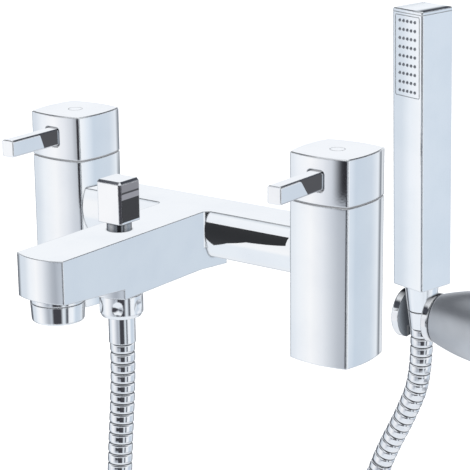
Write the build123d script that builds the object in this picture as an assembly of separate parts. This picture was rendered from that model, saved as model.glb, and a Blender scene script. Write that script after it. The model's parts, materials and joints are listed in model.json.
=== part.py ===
from build123d import *
import math
import os

# Bath shower mixer with a hose, a stick handset and a wall bracket.
# Millimetres. The origin lies on the deck, midway between the two inlets,
# +Z is up, the spout points along -Y and the two pillars stand along X.

# General clearances
running_clearance = 0.05
thread_clearance = 0.1
seat_clearance = 0.3
seam_gap = 0.8
edge_round = 0.5
overrun = 2.0

# Pillars of the body
inlet_spacing = 180.0
pillar_width = 35.6
pillar_bulge = 2.7
pillar_corner = 2.2
pillar_height = 86.5
inlet_radius = 12.1
inlet_depth = 20.0
waterway_radius = 6.0
pillar_chamber_radius = 11.0
pillar_chamber_drop = 6.0
base_seal_radius = 14.6
base_seal_width = 2.4
base_seal_depth = 2.2

# Beam between the pillars
beam_drop = 15.5
beam_width = 25.3
beam_centre_y = -1.9
beam_height = 27.3
beam_belly = 2.4
beam_belly_share = 0.43
beam_lower_inset = 2.5
beam_lower_round = 7.0

# Spout
spout_width = 30.7
spout_tip_margin = 12.1
spout_tip_bulge = 4.2
spout_tip_depth = 22.5
spout_step_depth = 26.5
spout_step_margin = 20.4
spout_root_depth = 32.0
spout_back = 3.0
spout_root_fillet = 4.0
spout_corner_round = 0.8

# Valve cartridges
cartridge_radius = 10.1
cartridge_depth = 36.5
cartridge_collar_radius = 11.8
cartridge_collar_height = 4.2
cartridge_neck_radius = 6.2
cartridge_neck_height = 4.5
cartridge_chamber_radius = 8.6
cartridge_chamber_height = 12.0
cartridge_window_width = 8.0
cartridge_window_height = 6.0
cartridge_seal_height = 1.4
spindle_radius = 3.8
spindle_drive = 5.6
spindle_drive_length = 5.5
spindle_groove_radius = 3.1
spindle_seal_height = 1.6
spindle_fork_height = 3.0
circlip_radius = 5.4
circlip_height = 1.0
circlip_mouth_share = 0.1667
disc_radius = 8.3
disc_height = 3.4
disc_window_radius = 6.6
disc_window_share = 0.211
disc_hub_radius = 2.2
disc_gap = 0.05
seat_seal_height = 1.8

# Control heads and levers
head_height = 24.9
head_cavity_radius = 14.0
head_cavity_depth = 17.5
head_hub_radius = 6.8
head_web = 2.6
index_radius = 4.0
index_height = 2.0
head_screw_radius = 2.0
head_screw_length = 9.0
head_screw_cap_radius = 3.6
head_screw_cap_height = 2.4
lever_width = 8.5
lever_height = 9.5
lever_reach = 57.0
lever_centre_drop = 12.5
lever_round = 1.3
lever_recess_gap = 1.1
lever_recess_depth = 3.2
lever_stud_radius = 2.8

# Diverter
diverter_margin = 14.9
diverter_travel = 6.2
chamber_radius = 7.6
chamber_drop = 19.5
seat_hole_radius = 4.8
seat_web = 1.5
gallery_radius = 6.6
gallery_channel_radius = 4.0
feed_channel_radius = 4.2
bonnet_radius = 6.6
bonnet_thread_depth = 6.0
bonnet_rise = 4.7
bonnet_bore_radius = 4.3
bonnet_roof = 1.6
bonnet_seal_height = 1.2
knob_size = 16.5
knob_height = 22.5
knob_chamfer = 1.3
knob_socket_depth = 9.0
stem_radius = 2.4
stem_nut_radius = 4.2
stem_nut_height = 1.4
piston_radius = 6.2
piston_height = 2.6
spring_radius = 3.5
spring_wire = 0.7
spring_turns = 5

# Aerator
aerator_reach = 118.9
aerator_radius = 14.0
aerator_taper = 0.6
aerator_height = 9.8
aerator_lip_round = 1.2
aerator_collar_drop = 25.2
aerator_thread_radius = 10.8
aerator_thread_height = 8.0
aerator_mouth_radius = 10.2
aerator_shelf = 1.6
aerator_insert_height = 13.0
aerator_washer_height = 1.6
aerator_grid_bar = 0.9
aerator_grid_pitch = 3.0

# Shower outlet below the diverter
nipple_radius = 10.4
nipple_flange = 2.0
nipple_stub_radius = 7.8
nipple_stub_length = 8.5
nipple_bore_radius = 5.6
check_valve_height = 9.0
hose_nut_radius = 11.65
hose_nut_gap = 2.4
hose_nut_height = 12.1
hose_nut_chamfer = 2.0
hose_nut_flats = 6
hose_nut_flat_radius = 9.0
hose_nut_flat_depth = 0.9
hose_nut_lip = 2.0
hose_washer_height = 1.8
ferrule_radius = 7.2
ferrule_length = 18.8
ferrule_flange_radius = 9.6
ferrule_flange_height = 1.6
ferrule_bore_radius = 4.2

# Hose
hose_radius = 6.7
hose_valley_radius = 5.8
hose_bore_radius = 4.0
hose_rib_pitch = 5.65
hose_rib_crest_share = 0.42
hose_rib_flank_share = 0.16
coil_turns = 2.5
coil_radius = 70.1
coil_gap = 0.95
coil_heading = 86.8
coil_centre_x = 22.7
coil_centre_y = 13.2
coil_centre_z = -195.0
tie_width = 8.0
tie_thickness = 1.0

# Handset
handset_x = 82.0
handset_y = 103.3
handset_turn = -15.0
handset_lean = 1.9
handset_width = 23.6
handset_low = 11.0
handset_high = 173.0
handset_wall = 1.6
handset_corner = 1.0
handset_base = 4.0
cap_height = 2.0
cap_spigot = 4.0
plate_width = 19.0
plate_height = 45.5
plate_drop = 3.4
plate_thickness = 1.4
plate_corner = 0.8
nozzle_columns = 5
nozzle_rows = 9
nozzle_column_pitch = 2.97
nozzle_row_pitch = 4.92
nozzle_radius = 0.75
nozzle_tip_radius = 0.55
nozzle_rise = 0.6
nozzle_mat_thickness = 1.2
water_tube_radius = 5.0
water_tube_bore = 3.6
tail_radius = 9.9
tail_seam = -4.2
tail_taper = 0.115
tail_spigot_radius = 6.2
tail_spigot_length = 7.0
tail_stud_radius = 7.0
tail_stud_height = 9.0
cone_nut_groove = 0.6
cone_nut_low = -15.5
cone_nut_lip = 2.4
cone_nut_exit_radius = 4.6
cone_washer_height = 1.2

# Wall bracket
clip_radius = 14.5
clip_centre_z = -8.0
clip_left_jaw = 12.5
clip_right_jaw = 11.7
clip_edge = 1.2
clip_slot_half = 7.6
hose_passage_gap = 1.8
bracket_gap = 0.5
bracket_length = 40.0
bracket_edge = 1.2
bell_low_radius = 14.4
bell_middle_radius = 18.6
bell_middle_share = 0.36
bell_wall_radius = 21.6
bracket_cavity_radius = 15.0
bracket_cavity_depth = 6.4
wall_plate_radius = 18.0
wall_plate_thickness = 3.0
wall_screw_spacing = 22.0
wall_screw_radius = 2.0
wall_screw_head_radius = 3.8
wall_screw_head_height = 2.2
wall_screw_length = 30.0
pivot_screw_radius = 2.0
pivot_screw_head_radius = 3.6
pivot_screw_head_height = 2.4
pivot_screw_length = 16.0
grub_screw_radius = 1.2
grub_screw_sink = 1.0

# Places that follow from the sizes above
BASE = (Align.CENTER, Align.CENTER, Align.MIN)
half_spacing = inlet_spacing / 2
beam_top = pillar_height - beam_drop
cartridge_seat = pillar_height - cartridge_depth
spout_reach = aerator_reach + spout_tip_margin
spout_step_reach = aerator_reach - aerator_radius - spout_step_margin
diverter_reach = spout_step_reach - diverter_margin
chamber_low = beam_top - chamber_drop
chamber_high = chamber_low + diverter_travel + piston_height + 4 * running_clearance
aerator_collar_low = beam_top - aerator_collar_drop
half_pillar = pillar_width / 2
half_spout = spout_width / 2
head_low = pillar_height + seam_gap
head_top = head_low + head_height
spout_root_low = beam_top - spout_root_depth
lever_z = head_top - lever_centre_drop
hose_nut_high = spout_root_low - hose_nut_gap
hose_nut_low = hose_nut_high - hose_nut_height
ferrule_low = hose_nut_low + hose_nut_lip + ferrule_flange_height - ferrule_length
hose_pitch = 2 * hose_radius + coil_gap
clip_place = Pos(handset_x, handset_y, clip_centre_z)
lean_place = clip_place * Rot(handset_lean, 0, 0) * Pos(0, 0, -clip_centre_z)

parts = {}


def rod(radius, low, high):
    """Upright cylinder between two heights."""
    return Pos(0, 0, low) * Cylinder(radius, high - low, align=BASE)


def ring(outer, inner, low, high):
    """Upright ring between two heights."""
    return rod(outer, low, high) - rod(inner, low - overrun, high + overrun)


def rod_x(radius, low, high):
    """Cylinder along X between two places."""
    return Rot(0, 90, 0) * rod(radius, low, high)


def rod_y(radius, low, high):
    """Cylinder along Y between two places."""
    return Rot(-90, 0, 0) * rod(radius, low, high)


def cone(low_radius, high_radius, low, high):
    """Upright cone between two heights."""
    return Pos(0, 0, low) * Cone(low_radius, high_radius, high - low, align=BASE)


def squircle(width):
    """Square with four bulging sides and small round corners."""
    half = width / 2
    out = half + pillar_bulge
    sides = [
        ThreePointArc((-half, -half), (0, -out), (half, -half)),
        ThreePointArc((half, -half), (out, 0), (half, half)),
        ThreePointArc((half, half), (0, out), (-half, half)),
        ThreePointArc((-half, half), (-out, 0), (-half, -half)),
    ]
    return fillet(make_face(sides).vertices(), pillar_corner)


def bowed_plan(reach, back):
    """Plan of the spout: straight sides and a bowed front."""
    front = ThreePointArc(
        (-half_spout, -reach), (0, -reach - spout_tip_bulge), (half_spout, -reach)
    )
    sides = Polyline((half_spout, -reach), (half_spout, back), (-half_spout, back), (-half_spout, -reach))
    return make_face([front] + sides.edges())


def beam_section():
    """Flat-topped section with bulging faces and a rounded underside."""
    half = beam_width / 2
    foot = half - beam_lower_inset
    belly = (half + beam_belly, -beam_height * beam_belly_share)
    outline = [
        Line((-half, 0), (half, 0)),
        ThreePointArc((half, 0), belly, (foot, -beam_height)),
        Line((foot, -beam_height), (-foot, -beam_height)),
        ThreePointArc((-foot, -beam_height), (-belly[0], belly[1]), (-half, 0)),
    ]
    face = make_face(outline)
    low_corners = face.vertices().sort_by(Axis.Y)[:2]
    return fillet(low_corners, beam_lower_round)


def casting_outside():
    """Pillars, beam and spout as one cast shape."""
    pillar = extrude(squircle(pillar_width), pillar_height)
    pillar = chamfer(pillar.faces().sort_by(Axis.Z)[-1].edges(), edge_round / 2)
    beam_plane = Plane(origin=(0, beam_centre_y, beam_top), x_dir=(0, 1, 0), z_dir=(1, 0, 0))
    beam = extrude(beam_plane * beam_section(), half_spacing, both=True)
    tip_low = beam_top - spout_tip_depth
    step_low = beam_top - spout_step_depth
    slope = (tip_low - step_low) / (spout_reach - spout_step_reach)
    end_y = -spout_reach - spout_tip_bulge - overrun
    end_low = tip_low + slope * (spout_tip_bulge + overrun)
    side = Plane.YZ * make_face(Polyline(
        (end_y, end_low),
        (end_y, beam_top),
        (spout_back, beam_top),
        (spout_back, step_low - slope * (spout_step_reach + spout_back)),
        close=True,
    ))
    front = extrude(bowed_plan(spout_reach, spout_back), beam_top)
    front &= extrude(side, spout_width, both=True)
    corners = front.edges().filter_by(Axis.Z).sort_by(Axis.Y)[:2]
    front = fillet(corners, spout_corner_round)
    deep = Pos(0, 0, spout_root_low) * extrude(
        bowed_plan(spout_step_reach, spout_back), spout_root_depth - edge_round
    )
    shape = beam + front + deep
    for side_x in (-half_spacing, half_spacing):
        shape += Pos(side_x, 0, 0) * pillar
    shape += Pos(0, -aerator_reach, 0) * rod(aerator_radius, aerator_collar_low, beam_top - spout_tip_depth)
    return shape


def root_fillets():
    """Concave fillets between the spout's sides and the beam's front."""
    radius = spout_root_fillet
    front_y = beam_centre_y - beam_width / 2
    slack = radius * (1 - math.sqrt(0.5))
    blocks = []
    for way in (-1, 1):
        side_x = way * half_spout
        inner = (side_x - way * radius, front_y + radius)
        beam_end = (side_x + way * radius, front_y)
        spout_end = (side_x, front_y - radius)
        middle = (side_x + way * slack, front_y - slack)
        outline = [ThreePointArc(beam_end, middle, spout_end)]
        outline += Polyline(
            spout_end, (inner[0], spout_end[1]), inner, (beam_end[0], inner[1]), beam_end
        ).edges()
        depth = beam_height - beam_lower_round
        blocks.append(Pos(0, 0, beam_top - depth) * extrude(make_face(outline), depth))
    return blocks


def casting_hollows():
    """Every bore and waterway inside the casting."""
    hollows = []
    for side_x in (-half_spacing, half_spacing):
        place = Pos(side_x, 0, 0)
        hollows.append(place * rod(inlet_radius, -overrun, inlet_depth))
        chamber_top = cartridge_seat - pillar_chamber_drop
        hollows.append(place * rod(pillar_chamber_radius, inlet_depth - overrun, chamber_top))
        hollows.append(place * rod(waterway_radius, chamber_top - overrun, cartridge_seat))
        bore = cartridge_radius + thread_clearance
        hollows.append(place * rod(bore, cartridge_seat - seat_seal_height, pillar_height + overrun))
        seal_outer = base_seal_radius + base_seal_width / 2 + running_clearance
        seal_inner = base_seal_radius - base_seal_width / 2 - running_clearance
        hollows.append(place * ring(seal_outer, seal_inner, -overrun, base_seal_depth))
    channel_z = cartridge_seat + seat_seal_height + cartridge_window_height
    channel_end = half_spacing - cartridge_radius / 2
    hollows.append(Pos(0, beam_centre_y, channel_z) * rod_x(waterway_radius, -channel_end, channel_end))
    feed_z = (chamber_low + chamber_high) / 2
    feed_end = beam_centre_y - waterway_radius / 2
    hollows.append(Pos(0, 0, feed_z) * rod_y(feed_channel_radius, -diverter_reach, feed_end))
    diverter = Pos(0, -diverter_reach, 0)
    gallery_low = chamber_high + seat_web
    hollows.append(diverter * rod(chamber_radius, chamber_low, chamber_high))
    hollows.append(diverter * rod(seat_hole_radius, chamber_low - seat_web - overrun, gallery_low + overrun))
    hollows.append(diverter * rod(gallery_radius + thread_clearance, gallery_low, beam_top + overrun))
    stub_top = spout_root_low + nipple_stub_length
    hollows.append(diverter * rod(nipple_stub_radius + thread_clearance, spout_root_low - overrun, stub_top))
    hollows.append(diverter * rod(nipple_bore_radius, stub_top - overrun, chamber_low - seat_web))
    spout_z = gallery_low + gallery_channel_radius / 2
    channel = rod_y(gallery_channel_radius, -aerator_reach, -diverter_reach)
    hollows.append(Pos(0, 0, spout_z) * channel)
    aerator_top = aerator_collar_low + aerator_thread_height + aerator_washer_height + seat_clearance
    aerator = Pos(0, -aerator_reach, 0)
    bore = aerator_thread_radius + thread_clearance
    hollows.append(aerator * rod(bore, aerator_collar_low - overrun, aerator_top))
    hollows.append(aerator * rod(aerator_mouth_radius - aerator_shelf, aerator_top - overrun, spout_z))
    return hollows


def add_casting():
    """The cast body, with its hollows and the seals under the pillars."""
    shape = casting_outside()
    for block in root_fillets():
        shape += block
    for hollow in casting_hollows():
        shape -= hollow
    parts["body_casting"] = shape
    outer = base_seal_radius + base_seal_width / 2
    inner = base_seal_radius - base_seal_width / 2
    seal = ring(outer, inner, 0, base_seal_depth - running_clearance)
    parts["base_seals"] = Compound([Pos(side_x, 0, 0) * seal for side_x in (-half_spacing, half_spacing)])


def wedge(radius, angle, low, high):
    """Upright sector of a cylinder, centred on +X."""
    half = math.radians(angle / 2)
    far = radius * 2
    sector = make_face(Polyline(
        (0, 0),
        (far * math.cos(half), -far * math.sin(half)),
        (far * math.cos(half), far * math.sin(half)),
        close=True,
    ))
    return (Pos(0, 0, low) * extrude(sector, high - low)) & rod(radius, low, high)


def valve_disc(low, turn):
    """Ceramic disc with two opposite sector windows."""
    disc = rod(disc_radius, low, low + disc_height)
    for angle in (turn, turn + 180):
        sweep_angle = 360 * disc_window_share
        window = wedge(disc_window_radius, sweep_angle, low - overrun, low + disc_height + overrun)
        disc -= Rot(0, 0, angle) * (window - rod(disc_hub_radius, low - overrun, low + disc_height + overrun))
    return disc


def add_valve(side, side_x):
    """One quarter-turn valve: the cartridge, what turns in it, and the head."""
    place = Pos(side_x, 0, 0)
    fixed_low = cartridge_seat
    moving_low = fixed_low + disc_height + disc_gap
    fork_low = moving_low + disc_height
    fork_high = fork_low + spindle_fork_height
    chamber_high_z = cartridge_seat + cartridge_chamber_height
    collar_low = pillar_height + cartridge_seal_height
    collar_high = collar_low + cartridge_collar_height
    neck_high = collar_high + cartridge_neck_height
    hub_low = neck_high + circlip_height + seat_clearance * 2
    drive_low = hub_low
    drive_high = drive_low + spindle_drive_length
    web_low = drive_high + seat_clearance
    web_high = web_low + head_web

    shell = rod(cartridge_radius, cartridge_seat, collar_low)
    hexagon = RegularPolygon(cartridge_collar_radius, 6)
    shell += Pos(0, 0, collar_low) * extrude(hexagon, cartridge_collar_height)
    shell += rod(cartridge_neck_radius, collar_high, neck_high)
    shell -= rod(cartridge_chamber_radius, cartridge_seat - overrun, chamber_high_z)
    shell -= rod(spindle_radius + running_clearance, chamber_high_z - overrun, neck_high + overrun)
    window_z = moving_low + cartridge_window_height / 2
    for angle in (0, 90):
        slot = Box(4 * cartridge_radius, cartridge_window_width, cartridge_window_height)
        shell -= Pos(0, 0, window_z) * (Rot(0, 0, angle) * slot)
    parts[f"{side}_cartridge"] = place * shell

    seal = ring(cartridge_radius + seam_gap, cartridge_radius + running_clearance, pillar_height, collar_low)
    parts[f"{side}_cartridge_seal"] = place * seal
    seat = ring(cartridge_radius, waterway_radius, cartridge_seat - seat_seal_height, cartridge_seat)
    parts[f"{side}_seat_seal"] = place * seat
    parts[f"{side}_fixed_disc"] = place * valve_disc(fixed_low, 0)
    parts[f"{side}_moving_disc"] = place * valve_disc(moving_low, 90)

    seal_low = (collar_low + chamber_high_z) / 2
    seal_high = seal_low + spindle_seal_height
    spindle = rod(disc_radius, fork_low, fork_high)
    spindle += rod(spindle_radius, fork_high, drive_low)
    square = Rectangle(spindle_drive, spindle_drive)
    spindle += Pos(0, 0, drive_low) * extrude(square, spindle_drive_length)
    spindle -= ring(spindle_radius + overrun, spindle_groove_radius, seal_low, seal_high)
    spindle -= ring(spindle_radius + overrun, spindle_groove_radius, neck_high, neck_high + circlip_height)
    screw_hole = head_screw_radius + running_clearance
    screw_low = web_high - head_screw_length
    spindle -= rod(screw_hole, screw_low - seat_clearance, drive_high + overrun)
    parts[f"{side}_spindle"] = place * spindle

    seal = ring(spindle_radius, spindle_groove_radius, seal_low, seal_high)
    parts[f"{side}_spindle_seal"] = place * seal
    clip_low = neck_high + running_clearance
    clip_high = neck_high + circlip_height - running_clearance
    clip = ring(circlip_radius, spindle_groove_radius + running_clearance, clip_low, clip_high)
    mouth = 360 * circlip_mouth_share
    clip -= wedge(circlip_radius + overrun, mouth, clip_low - overrun, clip_high + overrun)
    parts[f"{side}_circlip"] = place * clip

    outside = Pos(0, 0, head_low) * extrude(squircle(pillar_width), head_height)
    outside = chamfer(outside.faces().sort_by(Axis.Z)[-1].edges(), edge_round)
    cavity_high = head_low + head_cavity_depth
    cavity = rod(head_cavity_radius, head_low - overrun, cavity_high)
    cavity -= rod(head_hub_radius, hub_low, cavity_high)
    head = outside - cavity
    socket = spindle_drive + 2 * running_clearance
    head -= Pos(0, 0, hub_low - overrun) * extrude(Rectangle(socket, socket), web_low - hub_low + overrun)
    head -= rod(screw_hole, web_low - overrun, web_high + overrun)
    index_low = head_top - index_height
    head -= rod(head_screw_cap_radius + thread_clearance, web_high, index_low + overrun)
    head -= rod(index_radius + running_clearance, index_low, head_top + overrun)
    face_y = -half_pillar - pillar_bulge
    recess_y = face_y + lever_recess_depth
    recess_width = lever_width + 2 * lever_recess_gap
    recess_height = lever_height + 2 * lever_recess_gap
    recess = RectangleRounded(recess_width, recess_height, lever_round + lever_recess_gap)
    front_plane = Plane(origin=(0, recess_y, lever_z), x_dir=(1, 0, 0), z_dir=(0, -1, 0))
    head -= extrude(front_plane * recess, lever_recess_depth + overrun)
    stud_bore = lever_stud_radius + thread_clearance
    head -= Pos(0, 0, lever_z) * rod_y(stud_bore, recess_y - overrun, -head_hub_radius)
    parts[f"{side}_head"] = place * head

    lever_section = RectangleRounded(lever_width, lever_height, lever_round)
    lever = extrude(front_plane * lever_section, lever_reach + recess_y)
    tip = lever.faces().sort_by(Axis.Y)[0]
    lever = fillet(tip.edges(), edge_round)
    lever += Pos(0, 0, lever_z) * rod_y(lever_stud_radius, recess_y - overrun, -head_cavity_radius + overrun)
    parts[f"{side}_lever"] = place * lever

    screw = rod(head_screw_radius, screw_low, web_high)
    screw += rod(head_screw_cap_radius, web_high, web_high + head_screw_cap_height)
    drive = Pos(0, 0, web_high + head_screw_cap_height / 2)
    screw -= drive * extrude(RegularPolygon(head_screw_radius, 6), overrun)
    parts[f"{side}_head_screw"] = place * screw

    plug = rod(index_radius, index_low, head_top)
    parts[f"{side}_index_plug"] = place * plug


def add_diverter():
    """Pull-up diverter: knob, stem, piston seal, spring and bonnet."""
    place = Pos(0, -diverter_reach, 0)
    gallery_low = chamber_high + seat_web
    bonnet_low = beam_top - bonnet_thread_depth
    bonnet_high = beam_top + bonnet_rise
    knob_low = bonnet_high + seat_clearance
    knob_top = knob_low + knob_height
    roof_low = bonnet_high - bonnet_roof
    piston_low = chamber_low + running_clearance
    piston_high = piston_low + piston_height
    nut_high = piston_high + stem_nut_height
    socket_high = knob_low + knob_socket_depth

    bonnet = rod(bonnet_radius, bonnet_low, bonnet_high)
    bonnet -= rod(bonnet_bore_radius, bonnet_low - overrun, roof_low)
    bonnet -= rod(stem_radius + running_clearance, roof_low - overrun, bonnet_high + overrun)
    groove_low = beam_top - bonnet_seal_height * 2
    groove_high = groove_low + bonnet_seal_height
    groove_radius = (bonnet_radius + bonnet_bore_radius) / 2
    bonnet -= ring(bonnet_radius + overrun, groove_radius, groove_low, groove_high)
    top_edge = bonnet.edges().filter_by(GeomType.CIRCLE).group_by(Axis.Z)[-1].sort_by(SortBy.RADIUS)[-1]
    bonnet = chamfer(top_edge, edge_round)
    parts["diverter_bonnet"] = place * bonnet
    parts["bonnet_seal"] = place * ring(bonnet_radius, groove_radius, groove_low, groove_high)

    block = Pos(0, 0, knob_low) * Box(knob_size, knob_size, knob_height, align=BASE)
    rims = block.edges().filter_by(Axis.Z) + block.faces().sort_by(Axis.Z)[-1].edges()
    block = chamfer(rims, knob_chamfer)
    block -= rod(stem_radius + running_clearance, knob_low - overrun, socket_high)
    parts["diverter_knob"] = place * block

    stem = rod(stem_radius, piston_low, socket_high - seat_clearance)
    parts["diverter_stem"] = place * stem
    parts["diverter_piston_seal"] = place * ring(piston_radius, stem_radius, piston_low, piston_high)
    parts["diverter_stem_nut"] = place * ring(stem_nut_radius, stem_radius, piston_high, nut_high)

    low = nut_high + seat_clearance / 2
    high = roof_low - seat_clearance / 2
    pitch = (high - low - spring_wire) / spring_turns
    path = Helix(pitch, pitch * spring_turns, spring_radius)
    section = Plane(path @ 0, z_dir=path % 0) * RegularPolygon(spring_wire / 2, 6)
    spring = sweep(section, path=path, is_frenet=True)
    parts["diverter_spring"] = place * Pos(0, 0, low + spring_wire / 2) * spring


def add_aerator():
    """Aerator housing with its flow insert and washer."""
    place = Pos(0, -aerator_reach, 0)
    top = aerator_collar_low - seat_clearance
    low = top - aerator_height
    housing = cone(aerator_radius - aerator_taper, aerator_radius, low, top)
    rim = housing.edges().filter_by(GeomType.CIRCLE).sort_by(Axis.Z)[0]
    housing = fillet(rim, aerator_lip_round)
    thread_high = aerator_collar_low + aerator_thread_height
    housing += rod(aerator_thread_radius, top, thread_high)
    insert_radius = aerator_mouth_radius - running_clearance
    insert_low = thread_high - aerator_insert_height
    housing -= rod(aerator_mouth_radius, insert_low, thread_high + overrun)
    housing -= rod(aerator_mouth_radius - aerator_shelf, low - overrun, insert_low + overrun)
    parts["aerator_housing"] = place * housing

    insert = rod(insert_radius, insert_low + running_clearance, thread_high)
    cell = rod(insert_radius - aerator_shelf, insert_low - overrun, thread_high + overrun)
    count = math.floor(aerator_mouth_radius / aerator_grid_pitch)
    bars = []
    for index in range(-count, count + 1):
        offset = index * aerator_grid_pitch
        bar = Pos(offset, 0, insert_low) * Box(
            aerator_grid_bar, 2 * aerator_mouth_radius, aerator_insert_height, align=BASE
        )
        bars.append(bar)
        bars.append(Rot(0, 0, 90) * bar)
    grid = bars[0].fuse(*bars[1:])
    grid &= rod(insert_radius - aerator_shelf / 2, insert_low + running_clearance, thread_high)
    parts["aerator_insert"] = place * (insert - cell + grid)
    washer_outer = aerator_thread_radius
    washer_inner = aerator_mouth_radius - aerator_shelf
    washer = ring(washer_outer, washer_inner, thread_high, thread_high + aerator_washer_height)
    parts["aerator_washer"] = place * washer


def add_outlet():
    """Shower outlet: nipple, check valve, nut, washer and ferrule."""
    place = Pos(0, -diverter_reach, 0)
    stub_high = spout_root_low + nipple_stub_length
    nipple_low = hose_nut_low + hose_nut_lip + ferrule_flange_height + hose_washer_height
    nipple = rod(nipple_stub_radius, spout_root_low, stub_high)
    nipple += rod(nipple_radius, nipple_low, spout_root_low - seat_clearance / 2)
    nipple += rod(nipple_stub_radius, spout_root_low - nipple_flange, spout_root_low)
    nipple -= rod(nipple_bore_radius, nipple_low - overrun, stub_high + overrun)
    parts["outlet_nipple"] = place * nipple

    valve_low = nipple_low + nipple_flange
    valve_high = valve_low + check_valve_height
    radius = nipple_bore_radius - running_clearance
    valve = ring(radius, radius - edge_round * 2, valve_low, valve_high)
    valve += cone(radius / 4, radius - edge_round, valve_low + nipple_flange, valve_high - nipple_flange)
    valve -= rod(radius / 4, valve_low, valve_high)
    parts["outlet_check_valve"] = place * valve

    nut = rod(hose_nut_radius, hose_nut_low, hose_nut_high)
    rims = nut.edges().filter_by(GeomType.CIRCLE).sort_by(Axis.Z)
    nut = chamfer(rims[0], hose_nut_chamfer, hose_nut_chamfer / 2)
    nut = fillet(nut.edges().filter_by(GeomType.CIRCLE).sort_by(Axis.Z)[-1], edge_round)
    middle = (hose_nut_low + hose_nut_high) / 2
    for index in range(hose_nut_flats):
        reach = hose_nut_radius - hose_nut_flat_depth + hose_nut_flat_radius
        scoop = Pos(reach, 0, middle) * Sphere(hose_nut_flat_radius)
        nut -= Rot(0, 0, index * 360 / hose_nut_flats) * scoop
    lip_high = hose_nut_low + hose_nut_lip
    nut -= rod(nipple_radius + thread_clearance, lip_high, hose_nut_high + overrun)
    nut -= rod(ferrule_radius + thread_clearance, hose_nut_low - overrun, lip_high + overrun)
    parts["hose_nut"] = place * nut

    flange_high = lip_high + ferrule_flange_height
    ferrule = rod(ferrule_radius, ferrule_low, flange_high)
    ferrule += rod(ferrule_flange_radius, lip_high, flange_high)
    ferrule -= rod(ferrule_bore_radius, ferrule_low - overrun, flange_high + overrun)
    parts["hose_ferrule"] = place * ferrule
    washer = ring(ferrule_flange_radius, nipple_bore_radius, flange_high, flange_high + hose_washer_height)
    parts["hose_washer"] = place * washer


# The hose hangs in its own weight: the points of its two free stretches were chosen by hand
lean_sine = math.sin(math.radians(handset_lean))
nut_exit_y = handset_y + (clip_centre_z - cone_nut_low) * lean_sine
outlet_route = [
    (0.0, -diverter_reach, ferrule_low),
    (0.0, -diverter_reach, -6.0),
    (0.0, -diverter_reach - 1.6, -26.0),
    (0.0, -diverter_reach - 4.0, -48.0),
    (0.0, -diverter_reach - 5.6, -68.0),
    (0.0, -diverter_reach - 6.1, -84.0),
]
handset_route = [
    (handset_x, nut_exit_y, cone_nut_low),
    (handset_x + 0.3, nut_exit_y + 1.0, -45.5),
    (71.8, nut_exit_y + 1.0, -73.0),
    (59.9, nut_exit_y + 0.8, -97.0),
    (52.3, nut_exit_y + 0.4, -117.0),
]


def hose_path(points):
    """Straight runs joined by arcs that are as large as the runs allow."""
    places = [Vector(*point) for point in points]
    radii = []
    for index in range(1, len(places) - 1):
        before = places[index] - places[index - 1]
        after = places[index + 1] - places[index]
        half_turn = math.radians(before.get_angle(after)) / 2
        shorter = min(before.length, after.length)
        radii.append(0.45 * shorter / math.tan(half_turn))
    print("hose bend radii", [round(radius, 1) for radius in radii])
    return Wire(FilletPolyline(*places, radius=radii).edges())


def ribbed_hose(path, way):
    """Metal hose: every rib is four circles of one ruled loft along the path."""
    length = path.length
    count = int(length / hose_rib_pitch)
    pitch = length / count
    crest = pitch * hose_rib_crest_share
    flank = pitch * hose_rib_flank_share
    flat = (pitch - crest - 2 * flank) / 2
    stations = [(0, hose_valley_radius)]
    for index in range(count):
        start = index * pitch + flat
        stations.append((start, hose_valley_radius))
        stations.append((start + flank, hose_radius))
        stations.append((start + flank + crest, hose_radius))
        stations.append((start + 2 * flank + crest, hose_valley_radius))
    stations.append((length, hose_valley_radius))
    circles = []
    bores = []
    for place, radius in stations:
        tangent = path.tangent_at(place, position_mode=PositionMode.LENGTH)
        centre = path.position_at(place, position_mode=PositionMode.LENGTH)
        plane = Plane(origin=centre, x_dir=way - tangent * way.dot(tangent), z_dir=tangent)
        circles.append(plane * Circle(radius))
        if radius == hose_valley_radius:
            bores.append(plane * Circle(hose_bore_radius))
    return loft(circles, ruled=True) - loft(bores, ruled=True)


def biarc(start, start_way, end, end_way):
    """Two arcs that leave start along start_way and arrive at end along end_way."""
    chord = end - start
    ways = start_way + end_way
    square = 4 - ways.dot(ways)
    linear = chord.dot(ways)
    reach = (math.sqrt(linear * linear + square * chord.dot(chord)) - linear) / square
    first_knee = start + start_way * reach
    last_knee = end - end_way * reach
    middle = (first_knee + last_knee) * 0.5
    onward = (last_knee - first_knee).normalized()
    return [
        Edge.make_tangent_arc(start, start_way, middle),
        Edge.make_tangent_arc(middle, onward, end),
    ]


def coil_frame():
    """Centre of the coil, the way along it and the way across it."""
    angle = math.radians(coil_heading)
    along = Vector(math.cos(angle), math.sin(angle), 0)
    across = Vector(math.sin(angle), -math.cos(angle), 0)
    return Vector(coil_centre_x, coil_centre_y, coil_centre_z), along, across


def coil_place(share):
    """Point and direction of the coil at a share of its turns."""
    centre, along, across = coil_frame()
    angle = share * coil_turns * 2 * math.pi
    up = Vector(0, 0, 1)
    side = (share - 0.5) * coil_turns * hose_pitch
    point = centre - along * (coil_radius * math.cos(angle)) - up * (coil_radius * math.sin(angle))
    point += across * side
    climb = hose_pitch / (2 * math.pi)
    way = along * (coil_radius * math.sin(angle)) - up * (coil_radius * math.cos(angle))
    return point, (way + across * climb).normalized()


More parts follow.
